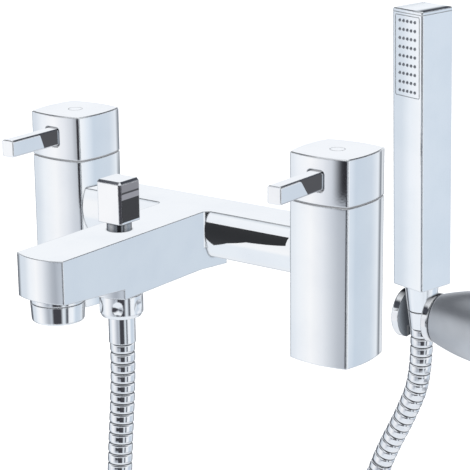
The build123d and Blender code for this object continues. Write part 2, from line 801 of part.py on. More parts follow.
def coil_edges(first_end, first_way, last_end, last_way):
    """Centre line of the coil, from the outlet stretch to the handset stretch."""
    lead = 2 * hose_radius
    down = Vector(0, 0, -1)
    quarters = int(round(coil_turns * 4))
    start = first_end + first_way * lead
    end = last_end + last_way * lead
    edges = [Edge.make_line(first_end, start)]
    place, way = coil_place(0)
    edges += biarc(start, first_way, place, down)
    way = down
    for quarter in range(1, quarters + 1):
        next_place, next_way = coil_place(quarter / quarters)
        if quarter == quarters:
            next_way = down * -1
        edges += biarc(place, way, next_place, next_way)
        place, way = next_place, next_way
    edges += biarc(place, way, end, last_way * -1)
    edges.append(Edge.make_line(end, last_end))
    return edges


def print_least_gap(path):
    """Smallest clear space between stretches of the coil that lie side by side."""
    count = 400
    step = path.length / count
    places = [path.position_at(index * step, position_mode=PositionMode.LENGTH) for index in range(count + 1)]
    apart = int(coil_radius / step)
    least = min(
        (places[i] - places[j]).length
        for i in range(count + 1)
        for j in range(i + apart, count + 1)
    )
    print("coil least gap to itself", round(least - 2 * hose_radius, 2))


def add_hose():
    """Shower hose: two ribbed stretches and the tied coil between them."""
    outlet_path = hose_path(outlet_route)
    handset_path = hose_path(handset_route)
    parts["hose_outlet_stretch"] = ribbed_hose(outlet_path, Vector(1, 0, 0))
    parts["hose_handset_stretch"] = ribbed_hose(handset_path, Vector(0, 1, 0))

    outlet_way = (Vector(*outlet_route[-1]) - Vector(*outlet_route[-2])).normalized()
    handset_way = (Vector(*handset_route[-1]) - Vector(*handset_route[-2])).normalized()
    coil_start = Vector(*outlet_route[-1])
    coil_end = Vector(*handset_route[-1]) + handset_way * seat_clearance
    coil_path = Wire(coil_edges(coil_start, outlet_way, coil_end, handset_way))
    section = Plane(origin=coil_start, x_dir=(1, 0, 0), z_dir=outlet_way) * Circle(hose_radius)
    coil = sweep(section, path=coil_path)
    parts["hose_coil"] = coil
    print_least_gap(coil_path)
    total = outlet_path.length + coil_path.length + handset_path.length
    print("hose length", round(total, 1), "coil volume share",
          round(coil.volume / (math.pi * hose_radius ** 2 * coil_path.length), 4))

    centre, along, across = coil_frame()
    ties = []
    strand_counts = (3, 2)
    for way, strands in zip((-1, 1), strand_counts):
        inner_width = (strands - 1) * hose_pitch + 2 * hose_radius + 2 * seat_clearance
        inner_height = 2 * hose_radius + 2 * seat_clearance
        origin = centre + Vector(0, 0, way * coil_radius)
        plane = Plane(origin=origin, x_dir=across, z_dir=along)
        round_inner = hose_radius
        inner = RectangleRounded(inner_width, inner_height, round_inner)
        outer = RectangleRounded(
            inner_width + 2 * tie_thickness, inner_height + 2 * tie_thickness, round_inner + tie_thickness
        )
        ties.append(extrude(plane * (outer - inner), tie_width / 2, both=True))
    parts["hose_ties"] = Compound(ties)


def add_handset():
    """Stick handset with its end cap, nozzle plate, inner tube and tail."""
    place = lean_place * Rot(0, 0, handset_turn)
    half = handset_width / 2
    cap_low = handset_high - cap_height
    section = RectangleRounded(handset_width, handset_width, handset_corner)
    inner_width = handset_width - 2 * handset_wall
    inner = Rectangle(inner_width, inner_width)
    shell = Pos(0, 0, handset_low) * extrude(section, cap_low - handset_low)
    low_rim = shell.faces().sort_by(Axis.Z)[0].edges()
    shell = chamfer(low_rim, edge_round)
    shell -= Pos(0, 0, handset_low + handset_base) * extrude(inner, handset_high - handset_low)
    shell -= rod(tail_stud_radius + thread_clearance, handset_low - overrun, handset_low + handset_base + overrun)
    plate_high = cap_low - plate_drop + cap_height
    plate_low = plate_high - plate_height
    plate_z = (plate_high + plate_low) / 2
    plate_plane = Plane(origin=(0, -half, plate_z), x_dir=(1, 0, 0), z_dir=(0, -1, 0))
    window = RectangleRounded(plate_width, plate_height, plate_corner)
    shell -= extrude(plate_plane * window, -handset_wall - overrun)
    parts["handset_shell"] = place * shell

    cap = Pos(0, 0, cap_low) * extrude(section, cap_height)
    cap = chamfer(cap.faces().sort_by(Axis.Z)[-1].edges(), edge_round)
    spigot = inner_width - 2 * thread_clearance
    spigot_wall = handset_wall + nozzle_mat_thickness + plate_thickness
    spigot_face = Pos(0, spigot_wall / 2, 0) * Rectangle(spigot, spigot - spigot_wall)
    cap += Pos(0, 0, cap_low - cap_spigot) * extrude(spigot_face, cap_spigot)
    parts["handset_end_cap"] = place * cap

    width = plate_width - 2 * running_clearance
    height = plate_height - 2 * running_clearance
    face = RectangleRounded(width, height, plate_corner)
    holes = [
        Pos(
            (column - (nozzle_columns - 1) / 2) * nozzle_column_pitch,
            (row - (nozzle_rows - 1) / 2) * nozzle_row_pitch,
            0,
        )
        for column in range(nozzle_columns)
        for row in range(nozzle_rows)
    ]
    pierced = face - [hole * Circle(nozzle_radius + running_clearance) for hole in holes]
    parts["nozzle_plate"] = place * extrude(plate_plane * pierced, -plate_thickness)

    mat_plane = Plane(origin=(0, plate_thickness - half, plate_z), x_dir=(1, 0, 0), z_dir=(0, -1, 0))
    mat = extrude(mat_plane * face, -nozzle_mat_thickness)
    nubs = [
        mat_plane * hole * Cone(
            nozzle_radius, nozzle_tip_radius, plate_thickness + nozzle_rise, align=BASE
        )
        for hole in holes
    ]
    parts["nozzle_mat"] = place * mat.fuse(*nubs)

    tube_low = handset_low + tail_stud_height + seat_clearance
    tube_high = plate_low - overrun
    tube = ring(water_tube_radius, water_tube_bore, tube_low - cap_spigot, tube_high)
    parts["handset_water_tube"] = place * tube

    seam_radius = tail_radius - tail_taper * (handset_low - tail_seam)
    tail = cone(seam_radius, tail_radius, tail_seam, handset_low)
    tail += rod(tail_stud_radius, handset_low, handset_low + tail_stud_height)
    tail += rod(tail_spigot_radius, tail_seam - tail_spigot_length, tail_seam)
    tail -= rod(water_tube_bore, tail_seam - tail_spigot_length - overrun, handset_high)
    tail -= rod(water_tube_radius + running_clearance, tube_low - cap_spigot, handset_high)
    parts["handset_tail"] = lean_place * tail

    nut_high = tail_seam - cone_nut_groove
    high_radius = tail_radius - tail_taper * (handset_low - nut_high)
    low_radius = tail_radius - tail_taper * (handset_low - cone_nut_low)
    nut = cone(low_radius, high_radius, cone_nut_low, nut_high)
    lip_high = cone_nut_low + cone_nut_lip
    nut -= rod(tail_spigot_radius + running_clearance, lip_high, nut_high + overrun)
    nut -= rod(cone_nut_exit_radius, cone_nut_low - overrun, lip_high + overrun)
    parts["cone_nut"] = lean_place * nut
    spigot_low = tail_seam - tail_spigot_length
    washer = ring(
        tail_spigot_radius, cone_nut_exit_radius,
        spigot_low - seat_clearance - cone_washer_height, spigot_low - seat_clearance,
    )
    parts["cone_washer"] = lean_place * washer


def add_bracket():
    """Wall bracket: a pivoting clip on the end of a bell that stands on the wall."""
    clip = rod_x(clip_radius, -clip_left_jaw, clip_right_jaw)
    rims = clip.edges().filter_by(GeomType.CIRCLE)
    clip = fillet(rims, clip_edge)
    rise = handset_low - clip_centre_z
    top_radius = tail_radius - tail_taper * (rise - clip_radius) + seat_clearance
    low_radius = top_radius - tail_taper * 2 * clip_radius
    clip -= cone(low_radius - tail_taper * overrun, top_radius + tail_taper * overrun,
                 -clip_radius - overrun, clip_radius + overrun)
    passage_high = cone_nut_low - clip_centre_z
    clip -= rod(hose_radius + hose_passage_gap, -clip_radius - overrun, passage_high)
    slot = Box(2 * clip_slot_half, 2 * clip_radius, 2 * (clip_radius + overrun))
    clip -= Pos(0, -clip_radius, 0) * slot
    head_x = clip_right_jaw - pivot_screw_head_height / 2
    clip -= rod_x(pivot_screw_radius + running_clearance, 0, clip_right_jaw + overrun)
    clip -= rod_x(pivot_screw_head_radius + running_clearance, 0, head_x)
    parts["bracket_clip"] = clip_place * Rot(handset_lean, 0, 0) * clip

    cap_start = head_x - pivot_screw_head_height + seat_clearance
    cap_end = head_x - running_clearance
    screw = rod_x(pivot_screw_head_radius, cap_start, cap_end)
    screw += rod_x(pivot_screw_radius, cap_end, head_x + pivot_screw_length)
    parts["clip_pivot_screw"] = clip_place * screw

    low_x = clip_right_jaw + bracket_gap
    wall_x = low_x + bracket_length
    middle = (low_x + bracket_length * bell_middle_share, bell_middle_radius)
    profile = make_face([
        Line((low_x, 0), (low_x, bell_low_radius)),
        ThreePointArc((low_x, bell_low_radius), middle, (wall_x, bell_wall_radius)),
        Line((wall_x, bell_wall_radius), (wall_x, 0)),
        Line((wall_x, 0), (low_x, 0)),
    ])
    bell = revolve(profile, Axis.X)
    bell = fillet(bell.edges().filter_by(GeomType.CIRCLE).group_by(Axis.X)[0], bracket_edge)
    plate_x = wall_x - wall_plate_thickness
    cavity_x = wall_x - bracket_cavity_depth
    bell -= rod_x(wall_plate_radius + thread_clearance, plate_x, wall_x + overrun)
    bell -= rod_x(bracket_cavity_radius, cavity_x, wall_x)
    bell -= rod_x(pivot_screw_radius, low_x - overrun, head_x + pivot_screw_length)
    grub_x = wall_x - wall_plate_thickness / 2
    grub_place = clip_place * Pos(grub_x, 0, 0)
    base = clip_place * bell
    base -= grub_place * rod(grub_screw_radius, -bell_wall_radius - overrun, -wall_plate_radius)
    parts["bracket_base"] = base
    grub_low = grub_screw_sink - bell_wall_radius
    parts["bracket_grub_screw"] = grub_place * rod(grub_screw_radius, grub_low, -wall_plate_radius)

    plate = rod_x(wall_plate_radius, plate_x, wall_x)
    head_start = plate_x - wall_screw_head_height
    screws = []
    for way in (-1, 1):
        spot = Pos(0, 0, way * wall_screw_spacing / 2)
        plate -= spot * rod_x(wall_screw_radius + thread_clearance, plate_x - overrun, wall_x + overrun)
        screw = spot * rod_x(wall_screw_head_radius, head_start, plate_x)
        screw += spot * rod_x(wall_screw_radius, plate_x, head_start + wall_screw_length)
        screws.append(clip_place * screw)
    parts["bracket_wall_plate"] = clip_place * plate
    parts["wall_screws"] = Compound(screws)


def build():
    """Every piece in its place."""
    add_casting()
    add_valve("left", -half_spacing)
    add_valve("right", half_spacing)
    add_diverter()
    add_aerator()
    add_outlet()
    add_hose()
    add_handset()
    add_bracket()


build()
os.makedirs("parts", exist_ok=True)
for name, shape in parts.items():
    export_step(shape, f"parts/{name}.step")
print(len(parts), "nodes")
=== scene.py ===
import json
import math

import bmesh
import bpy
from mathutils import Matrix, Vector


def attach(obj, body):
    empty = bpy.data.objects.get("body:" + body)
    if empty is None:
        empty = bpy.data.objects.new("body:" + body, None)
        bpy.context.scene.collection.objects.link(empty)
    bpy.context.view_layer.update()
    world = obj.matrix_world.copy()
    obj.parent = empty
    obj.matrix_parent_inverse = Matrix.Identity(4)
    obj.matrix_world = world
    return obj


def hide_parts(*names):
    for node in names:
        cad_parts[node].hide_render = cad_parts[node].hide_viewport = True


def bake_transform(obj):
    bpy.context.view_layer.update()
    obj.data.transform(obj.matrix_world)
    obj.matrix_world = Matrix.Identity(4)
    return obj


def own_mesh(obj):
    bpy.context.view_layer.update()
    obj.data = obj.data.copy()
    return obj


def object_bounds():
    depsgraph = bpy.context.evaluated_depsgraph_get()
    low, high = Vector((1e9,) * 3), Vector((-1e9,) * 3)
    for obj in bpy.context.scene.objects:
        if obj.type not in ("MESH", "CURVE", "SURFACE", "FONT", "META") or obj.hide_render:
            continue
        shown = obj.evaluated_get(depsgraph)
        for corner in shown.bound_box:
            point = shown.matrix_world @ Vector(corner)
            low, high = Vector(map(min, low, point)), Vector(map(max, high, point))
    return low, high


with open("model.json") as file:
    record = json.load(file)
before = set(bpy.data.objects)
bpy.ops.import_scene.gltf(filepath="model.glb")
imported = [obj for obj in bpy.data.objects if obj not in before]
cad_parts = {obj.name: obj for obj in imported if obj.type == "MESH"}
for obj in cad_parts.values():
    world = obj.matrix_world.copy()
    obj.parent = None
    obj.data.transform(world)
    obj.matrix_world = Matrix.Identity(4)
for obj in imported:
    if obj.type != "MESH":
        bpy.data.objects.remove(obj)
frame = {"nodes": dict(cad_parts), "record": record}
nodes = frame["nodes"]
cadLow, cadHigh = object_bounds()
print("frame loaded:", len(nodes), "nodes")


# camera of the photograph
photoCamera = {
    "place": (0.57621, -0.74502, 0.32147),
    "turn": (73.9823, 0.5420, 36.4154),
    "lens": 135.063,
    "sensor": 36,
    "near": 0.01,
    "far": 20,
}


def makeCamera():
    data = bpy.data.cameras.new("photoCamera")
    data.sensor_width = photoCamera["sensor"]
    data.lens = photoCamera["lens"]
    data.clip_start, data.clip_end = photoCamera["near"], photoCamera["far"]
    camera = bpy.data.objects.new("photoCamera", data)
    bpy.context.scene.collection.objects.link(camera)
    camera.location = photoCamera["place"]
    camera.rotation_euler = [math.radians(angle) for angle in photoCamera["turn"]]
    bpy.context.scene.camera = camera


makeCamera()
print("camera set")


# shader maths on sockets, and one way to add any node
class Value:
    def __init__(self, paint, socket):
        self.paint = paint
        self.socket = socket

    def math(self, operation, first, second=0.0):
        return self.paint.add("ShaderNodeMath", {"operation": operation}, {0: first, 1: second})

    def __add__(self, other):
        return self.math("ADD", self, other)

    def __sub__(self, other):
        return self.math("SUBTRACT", self, other)

    def __rsub__(self, other):
        return self.math("SUBTRACT", other, self)

    def __mul__(self, other):
        return self.math("MULTIPLY", self, other)

    def __truediv__(self, other):
        return self.math("DIVIDE", self, other)

    __radd__ = __add__
    __rmul__ = __mul__

    def step(self, low, high):
        # eases from 0 at low to 1 at high
        return self.paint.add(
            "ShaderNodeMapRange",
            {"interpolation_type": "SMOOTHSTEP"},
            {"Value": self, "From Min": low, "From Max": high},
        )


class Paint:
    def __init__(self, tree):
        self.tree = tree
        tree.nodes.clear()

    def add(self, kind, settings=None, values=None, output=0):
        node = self.tree.nodes.new(kind)
        for name, setting in (settings or {}).items():
            if name == "stops":
                self.setStops(node.color_ramp, setting)
            else:
                setattr(node, name, setting)
        for name, value in (values or {}).items():
            socket = node.inputs[name]
            if isinstance(value, Value):
                self.tree.links.new(value.socket, socket)
            elif isinstance(value, (tuple, list)) and len(value) == 3 and socket.type == "RGBA":
                socket.default_value = (*value, 1)
            else:
                socket.default_value = value
        return Value(self, node.outputs[output] if node.outputs else None)

    def setStops(self, ramp, stops):
        while len(ramp.elements) > 1:
            ramp.elements.remove(ramp.elements[-1])
        ramp.elements[0].position, ramp.elements[0].color = stops[0][0], (*stops[0][1], 1)
        for place, colour in stops[1:]:
            ramp.elements.new(place).color = (*colour, 1)

    def mix(self, factor, first, second):
        return self.add(
            "ShaderNodeMix",
            {"data_type": "RGBA", "clamp_factor": True},
            {0: factor, 6: first, 7: second},
            output=2,
        )

    def noise(self, where, scale, detail=2.0, roughness=0.5):
        return self.add(
            "ShaderNodeTexNoise", None,
            {"Vector": where, "Scale": scale, "Detail": detail, "Roughness": roughness},
        )


# studio: a pale room with the dark bands and flags that the chrome shows in the photograph.
# horizon goes once round from +X, sky from the horizon to overhead, ground from the horizon down
studio = {
    "horizon": [
        (0.000, (0.90, 0.93, 0.97)),
        (0.045, (0.96, 0.98, 1.00)),
        (0.070, (0.80, 0.86, 0.93)),
        (0.095, (0.62, 0.70, 0.79)),
        (0.165, (0.66, 0.73, 0.81)),
        (0.205, (0.84, 0.88, 0.93)),
        (0.222, (0.18, 0.20, 0.23)),
        (0.236, (0.86, 0.89, 0.93)),
        (0.256, (0.20, 0.21, 0.23)),
        (0.290, (0.20, 0.21, 0.23)),
        (0.315, (0.80, 0.84, 0.89)),
        (0.385, (0.80, 0.84, 0.89)),
        (0.410, (0.14, 0.15, 0.17)),
        (0.480, (0.14, 0.15, 0.17)),
        (0.505, (0.70, 0.76, 0.83)),
        (0.556, (0.74, 0.79, 0.85)),
        (0.590, (0.90, 0.93, 0.97)),
        (0.640, (0.99, 0.99, 1.00)),
        (0.680, (0.84, 0.86, 0.90)),
        (0.708, (0.66, 0.69, 0.74)),
        (0.738, (0.48, 0.51, 0.56)),
        (0.756, (0.42, 0.45, 0.50)),
        (0.790, (0.56, 0.60, 0.66)),
        (0.812, (0.06, 0.06, 0.07)),
        (0.900, (0.06, 0.06, 0.07)),
        (0.925, (0.80, 0.85, 0.90)),
        (0.950, (0.70, 0.75, 0.80)),
        (0.966, (0.12, 0.13, 0.15)),
        (0.986, (0.12, 0.13, 0.15)),
        (0.996, (0.90, 0.93, 0.97)),
    ],
    "sky": [
        (0.0, (0.90, 0.93, 0.97)),
        (0.19, (0.95, 0.97, 1.0)),
        (0.22, (0.80, 0.84, 0.88)),
        (0.26, (0.08, 0.085, 0.10)),
        (0.52, (0.06, 0.065, 0.08)),
        (0.62, (0.90, 0.93, 0.96)),
        (1.0, (1.0, 1.0, 1.0)),
    ],
    "ground": [
        (0.0, (0.62, 0.66, 0.72)),
        (0.14, (0.30, 0.32, 0.36)),
        (0.30, (0.85, 0.88, 0.92)),
        (1.0, (0.95, 0.97, 1.0)),
    ],
    "skyFrom": (-2.0, 10.0),      # degrees above the horizon
    "groundFrom": (-26.0, -34.0),
    "groundDepth": 64.0,          # degrees that the ground's stops are spread over
    "groundLitFrom": (0.50, 0.58),
    "groundLit": (0.86, 0.90, 0.95),
    "flag": (0.03, 0.03, 0.035),  # dark flag opposite the spout, low and narrow
    "flagFrom": (0.704, 0.744),
    "flagTo": (0.812, 0.820),
    "flagLow": (-15.2, -14.7),
    "flagHigh": (-7.0, -4.0),
    # dark cards that only reflections see, for what a piece mirrors of its neighbours: shade, and
    # corners in the order that turns the dark side to that piece
    "cards": {
        "spoutInBeam": (0.010, [
            (0.0745, -0.0152, 0.0618), (0.0350, -0.0275, 0.0532), (0.0160, -0.0335, 0.0435),
            (-0.0040, -0.0398, 0.0270), (-0.0040, -0.0398, 0.0665), (0.0745, -0.0152, 0.0652),
        ]),
        "beamInKnob": (0.030, [
            (0.0088, -0.0618, 0.0768), (0.0088, -0.0768, 0.0768),
            (0.0088, -0.0768, 0.0888), (0.0088, -0.0618, 0.0888),
        ]),
        "beamTopInKnob": (0.30, [
            (0.0088, -0.0618, 0.0888), (0.0088, -0.0768, 0.0888),
            (0.0088, -0.0768, 0.0918), (0.0088, -0.0618, 0.0918),
        ]),
        "edgeInKnob": (0.050, [
            (0.0088, -0.0618, 0.0918), (0.0088, -0.0768, 0.0918),
            (0.0088, -0.0768, 0.0928), (0.0088, -0.0618, 0.0928),
        ]),
        "wallInKnob": (0.24, [
            (0.0088, -0.0618, 0.0928), (0.0088, -0.0768, 0.0928),
            (0.0088, -0.0768, 0.0972), (0.0088, -0.0618, 0.0972),
        ]),
        "headInRightLever": (0.060, [
            (0.0947, -0.0200, 0.0945), (0.0947, -0.0320, 0.0945),
            (0.0947, -0.0400, 0.1050), (0.0947, -0.0200, 0.1050),
        ]),
        "headInLeftLever": (0.060, [
            (-0.0853, -0.0200, 0.0945), (-0.0853, -0.0310, 0.0945),
            (-0.0853, -0.0350, 0.1050), (-0.0853, -0.0200, 0.1050),
        ]),
    },
    "cardBlue": 1.1,              # how much bluer than grey a card's shade is
    "floorDrop": 0.004,
    "floorSize": 6.0,
    "floorColour": (0.9, 0.9, 0.9),
    "floorGlow": 0.8,
}


def makeCards():
    for name, (shade, corners) in studio["cards"].items():
        mesh = bpy.data.meshes.new(name)
        mesh.from_pydata(corners, [], [tuple(range(len(corners)))])
        card = bpy.data.objects.new(name, mesh)
        bpy.context.scene.collection.objects.link(card)
        material = bpy.data.materials.new(name)
        material.use_nodes = True
        paint = Paint(material.node_tree)
        glow = (shade, shade, shade * studio["cardBlue"])
        dark = paint.add(
            "ShaderNodeBsdfPrincipled", None,
            {"Base Color": (0, 0, 0), "Emission Color": glow, "Emission Strength": 1.0},
        )
        clear = paint.add("ShaderNodeBsdfTransparent")
        behind = paint.add("ShaderNodeNewGeometry", None, None, output=6)
        shader = paint.add("ShaderNodeMixShader", None, {0: behind, 1: dark, 2: clear})
        paint.add("ShaderNodeOutputMaterial", None, {"Surface": shader})
        mesh.materials.append(material)
        card.visible_camera = card.visible_shadow = card.visible_diffuse = False


def makeStudio():
    world = bpy.data.worlds.new("studio")
    bpy.context.scene.world = world
    world.use_nodes = True
    paint = Paint(world.node_tree)
    way = paint.add("ShaderNodeTexCoord", None, None, output=0)
    split = paint.add("ShaderNodeSeparateXYZ", None, {"Vector": way})
    parts = [Value(paint, socket) for socket in split.socket.node.outputs]
    azimuth = parts[0].math("ARCTAN2", parts[1], parts[0]) / (2 * math.pi)
    azimuth = azimuth.math("FRACT", azimuth + 1.0)
    height = parts[2].math("ARCSINE", parts[2]) * (180 / math.pi)
    horizon = paint.add("ShaderNodeValToRGB", {"stops": studio["horizon"]}, {"Fac": azimuth})
    sky = paint.add("ShaderNodeValToRGB", {"stops": studio["sky"]}, {"Fac": height / 90.0})
    room = paint.mix(height.step(*studio["skyFrom"]), horizon, sky)
    high, low = studio["groundFrom"]
    down = height * -1.0
    depth = (down + high) / studio["groundDepth"]
    ground = paint.add("ShaderNodeValToRGB", {"stops": studio["ground"]}, {"Fac": depth})
    ground = paint.mix(azimuth.step(*studio["groundLitFrom"]), ground, studio["groundLit"])
    room = paint.mix(down.step(-high, -low), room, ground)
    flag = azimuth.step(*studio["flagFrom"]) * (1 - azimuth.step(*studio["flagTo"]))
    flag = flag * height.step(*studio["flagLow"]) * (1 - height.step(*studio["flagHigh"]))
    room = paint.mix(flag, room, studio["flag"])
    seen = paint.add("ShaderNodeLightPath", None, None, output=0)
    room = paint.mix(seen, room, (1.0, 1.0, 1.0))
    shader = paint.add("ShaderNodeBackground", None, {"Color": room, "Strength": 1.0})
    paint.add("ShaderNodeOutputWorld", None, {"Surface": shader})

    mesh = bpy.data.meshes.new("floor")
    half = studio["floorSize"]
    level = cadLow[2] - studio["floorDrop"]
    corners = [(-half, -half, level), (half, -half, level), (half, half, level), (-half, half, level)]
    mesh.from_pydata(corners, [], [(0, 1, 2, 3)])
    floor = bpy.data.objects.new("floor", mesh)
    bpy.context.scene.collection.objects.link(floor)
    material = bpy.data.materials.new("paleFloor")
    material.use_nodes = True
    paint = Paint(material.node_tree)
    shader = paint.add(
        "ShaderNodeBsdfPrincipled", None,
        {
            "Base Color": studio["floorColour"], "Roughness": 0.9,
            "Emission Color": (1, 1, 1), "Emission Strength": studio["floorGlow"],
        },
    )
    paint.add("ShaderNodeOutputMaterial", None, {"Surface": shader})
    mesh.materials.append(material)
    floor.visible_glossy = False
    makeCards()


makeStudio()
bpy.context.scene.view_settings.view_transform = "Standard"
print("studio set")


def newPaint(name):
    material = bpy.data.materials.new(name)
    material.use_nodes = True
    paint = Paint(material.node_tree)
    where = paint.add("ShaderNodeTexCoord", None, None, output=3)
    return material, paint, where


def finishPaint(paint, values):
    shader = paint.add("ShaderNodeBsdfPrincipled", None, values)
    paint.add("ShaderNodeOutputMaterial", None, {"Surface": shader})


# plated chrome: mirror bright, with a faint orange peel and wiping marks. shade is the painted shade
# of creases: gap is how near another surface paints it darker, open is how free a place stands to
# stay bright, and crown rounds its front
chromeLooks = {
    "body_chrome": {
        "bright": (0.93, 0.945, 0.96), "dull": (0.89, 0.91, 0.935), "shade": (0.1, 0.1, 0.11),
        "rough": 0.035, "peel": 0.010, "gap": 0.0022, "open": 0.85,
    },
    "handle_chrome": {
        "bright": (0.94, 0.95, 0.965), "dull": (0.90, 0.915, 0.94), "shade": (0.1, 0.1, 0.11),
        "rough": 0.03, "peel": 0.008, "gap": 0.0022, "open": 0.85,
    },
    "handset_chrome": {
        "bright": (0.93, 0.95, 0.975), "dull": (0.89, 0.92, 0.95), "shade": (0.3, 0.32, 0.35),
        "rough": 0.05, "peel": 0.012, "gap": 0.0015, "open": 0.85, "crown": 8.0,
    },
    # bracket: a wide crease reach and a near-black shade, painted shade on the clip's inner faces
    "bracket_chrome": {
        "bright": (0.92, 0.93, 0.945), "dull": (0.86, 0.87, 0.89), "shade": (0.035, 0.037, 0.042),
        "rough": 0.05, "peel": 0.010, "gap": 0.020, "open": 1.05,
    },
    # bonnet: darker chrome and a wide crease reach, painted shade from the knob and spout above it
    "bonnetPaintedShade": {
        "bright": (0.88, 0.90, 0.92), "dull": (0.82, 0.84, 0.87), "shade": (0.06, 0.065, 0.075),
        "rough": 0.04, "peel": 0.008, "gap": 0.009, "open": 1.0,
    },
    "bracketBell": {
        "bright": (0.60, 0.62, 0.65), "dull": (0.54, 0.56, 0.59), "shade": (0.10, 0.10, 0.11),
        "rough": 0.42, "peel": 0.012, "gap": 0.0022, "open": 0.85,
    },
}
plating = {
    "wipingScale": 38.0,
    "peelScale": 900.0,
    "peelHeight": 0.0002,
    "rounding": 0.0009,      # of the edges, for the reflections
    "paintedShadeFrom": 0.30,
    "lineWidth": 0.0005,     # of the thin dark line along the edges
    "lineFrom": (0.84, 0.97),
    "paintedEdgeReflection": (0.20, 0.215, 0.24),
}
# how far across the handset's front a point lies: x * right - back * (y + lean * z) - middle
handsetFront = {"right": 0.966, "back": 0.259, "lean": 0.0332, "middle": 0.0525}


def makeChrome(name, look):
    material, paint, where = newPaint(name)
    wiping = paint.noise(where, plating["wipingScale"], 3.0)
    peel = paint.noise(where, plating["peelScale"], 1.0)
    colour = paint.mix(wiping.step(0.35, 0.7), look["bright"], look["dull"])
    rough = look["rough"] * (0.7 + 0.6 * wiping)
    edge = paint.add("ShaderNodeBevel", {"samples": 4}, {"Radius": plating["rounding"]})
    if "crown" in look:
        split = paint.add("ShaderNodeSeparateXYZ", None, {"Vector": where})
        x, y, z = [Value(paint, socket) for socket in split.socket.node.outputs]
        behind = handsetFront["back"] * (y + handsetFront["lean"] * z)
        across = handsetFront["right"] * x - behind - handsetFront["middle"]
        edge = paint.add(
            "ShaderNodeBump", None,
            {"Strength": 1.0, "Distance": 1.0, "Height": across * across * -look["crown"], "Normal": edge},
        )
    bump = paint.add(
        "ShaderNodeBump", None,
        {"Strength": look["peel"], "Distance": plating["peelHeight"], "Height": peel, "Normal": edge},
    )
    # painted shade: ambient occlusion darkens narrow gaps and inner corners to the shade colour
    painted_crease_shade = paint.add("ShaderNodeAmbientOcclusion", {"samples": 8}, {"Distance": look["gap"]}, output=1)
    colour = paint.mix(painted_crease_shade.step(plating["paintedShadeFrom"], look["open"]), look["shade"], colour)
    # a thin dark line along the edges, a painted reflection of the dark surroundings in the rounded edge
    face = paint.add("ShaderNodeNewGeometry", None, None, output=1)
    turned = paint.add("ShaderNodeBevel", {"samples": 6}, {"Radius": plating["lineWidth"]})
    flat = paint.add("ShaderNodeVectorMath", {"operation": "DOT_PRODUCT"}, {0: face, 1: turned}, output=1)
    colour = paint.mix(flat.step(*plating["lineFrom"]), plating["paintedEdgeReflection"], colour)
    finishPaint(paint, {"Base Color": colour, "Metallic": 1.0, "Roughness": rough, "Normal": bump})
    return material


# chrome of the hose: bright ribs, dull in the grooves between them, where painted shade darkens the colour
hoseLook = {
    "bright": (0.90, 0.91, 0.93),
    "worn": (0.82, 0.84, 0.87),
    "groovePaintedShade": (0.05, 0.052, 0.057),
    "wearScale": 160.0,
    "rough": 0.08,
    "dull": 0.30,
}


def makeHoseChrome(name):
    material, paint, where = newPaint(name)
    rib = paint.add("ShaderNodeAttribute", {"attribute_name": "rib"}, None, output=2)
    wear = paint.noise(where, hoseLook["wearScale"], 3.0)
    crest = rib.step(0.05, 0.7)
    bright = paint.mix(wear.step(0.4, 0.75), hoseLook["bright"], hoseLook["worn"])
    # painted shade fills the grooves between the ribs
    colour = paint.mix(crest, hoseLook["groovePaintedShade"], bright)
    rough = hoseLook["dull"] - crest * (hoseLook["dull"] - hoseLook["rough"]) + wear * 0.04
    finishPaint(paint, {"Base Color": colour, "Metallic": 1.0, "Roughness": rough})
    return material


# turned metal of the inner works: fine rings from the tool
turnedLooks = {
    "brass": {"bright": (0.50, 0.39, 0.20), "dull": (0.36, 0.28, 0.14), "rough": 0.30},
    "steel": {"bright": (0.66, 0.67, 0.68), "dull": (0.52, 0.53, 0.54), "rough": 0.26},
}


def makeTurned(name, look):
    material, paint, where = newPaint(name)
    rings = paint.add(
        "ShaderNodeTexWave", {"wave_type": "BANDS", "bands_direction": "Z"},
        {"Vector": where, "Scale": 620.0, "Distortion": 1.5, "Detail": 2.0},
    )
    stain = paint.noise(where, 120.0, 4.0)
    colour = paint.mix(stain.step(0.35, 0.7), look["bright"], look["dull"])
    rough = look["rough"] + 0.12 * stain
    bump = paint.add("ShaderNodeBump", None, {"Strength": 0.15, "Distance": 0.0001, "Height": rings})
    finishPaint(paint, {"Base Color": colour, "Metallic": 1.0, "Roughness": rough, "Normal": bump})
    return material


# rubber, moulded plastic and ceramic
softLooks = {
    "black_rubber": {
        "main": (0.020, 0.020, 0.021), "other": (0.045, 0.045, 0.047), "rough": 0.62, "grain": 900.0,
    },
    "nozzle_rubber": {
        "main": (0.16, 0.17, 0.20), "other": (0.22, 0.23, 0.26), "rough": 0.45, "grain": 1400.0,
    },
    "white_plastic": {
        "main": (0.80, 0.80, 0.78), "other": (0.72, 0.72, 0.70), "rough": 0.38, "grain": 500.0,
    },
    "tie_plastic": {
        "main": (0.030, 0.030, 0.032), "other": (0.055, 0.055, 0.058), "rough": 0.40, "grain": 700.0,
    },
    "ceramic": {
        "main": (0.88, 0.88, 0.86), "other": (0.82, 0.82, 0.79), "rough": 0.12, "grain": 300.0,
    },
}


def makeMoulded(name, look):
    material, paint, where = newPaint(name)
    grain = paint.noise(where, look["grain"], 3.0, 0.6)
    cloud = paint.noise(where, look["grain"] / 12, 2.0)
    colour = paint.mix(cloud.step(0.3, 0.75), look["main"], look["other"])
    rough = look["rough"] + 0.15 * (grain - 0.5)
    bump = paint.add("ShaderNodeBump", None, {"Strength": 0.12, "Distance": 0.0001, "Height": grain})
    finishPaint(paint, {"Base Color": colour, "Roughness": rough, "Normal": bump})
    return material


